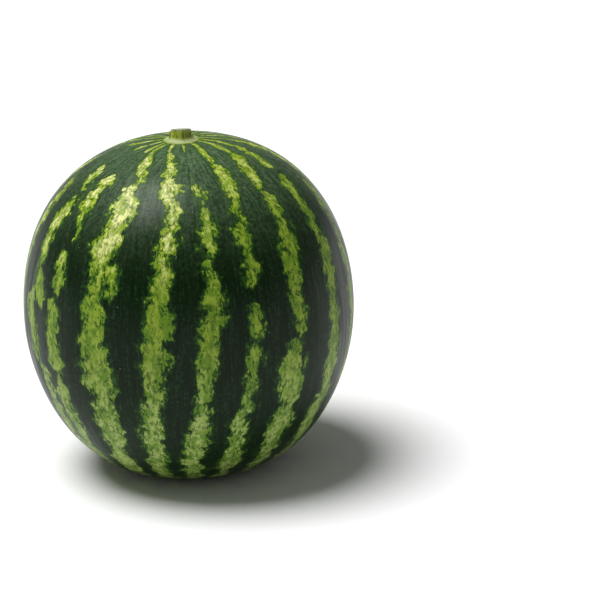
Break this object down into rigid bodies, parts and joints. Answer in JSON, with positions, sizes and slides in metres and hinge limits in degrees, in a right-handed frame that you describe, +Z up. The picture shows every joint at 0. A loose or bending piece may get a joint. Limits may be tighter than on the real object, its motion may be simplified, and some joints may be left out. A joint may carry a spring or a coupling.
{
  "type": "watermelon",
  "caption": "Whole round watermelon with dark striped rind, a short cut stem stub with a flared foot on its crown, and a small flat resting spot under its blossom end.",
  "frame": {"origin": "centre of the flat resting spot under the blossom end", "axes": "+Z up through the stem, -Y towards the side seen from the front, +X to that side's right"},
  "size_m": [0.23, 0.23, 0.2414],
  "materials": {
    "rind": "waxy semi-gloss dark green rind with paler yellow-green broken stripes from stem to blossom end",
    "stem": "dull olive green stalk, paler at its foot, with a dry grey-white cut"
  },
  "bodies": {
    "root": {"fruit": "rind", "stem_stub": "stem"}
  },
  "joints": []
}
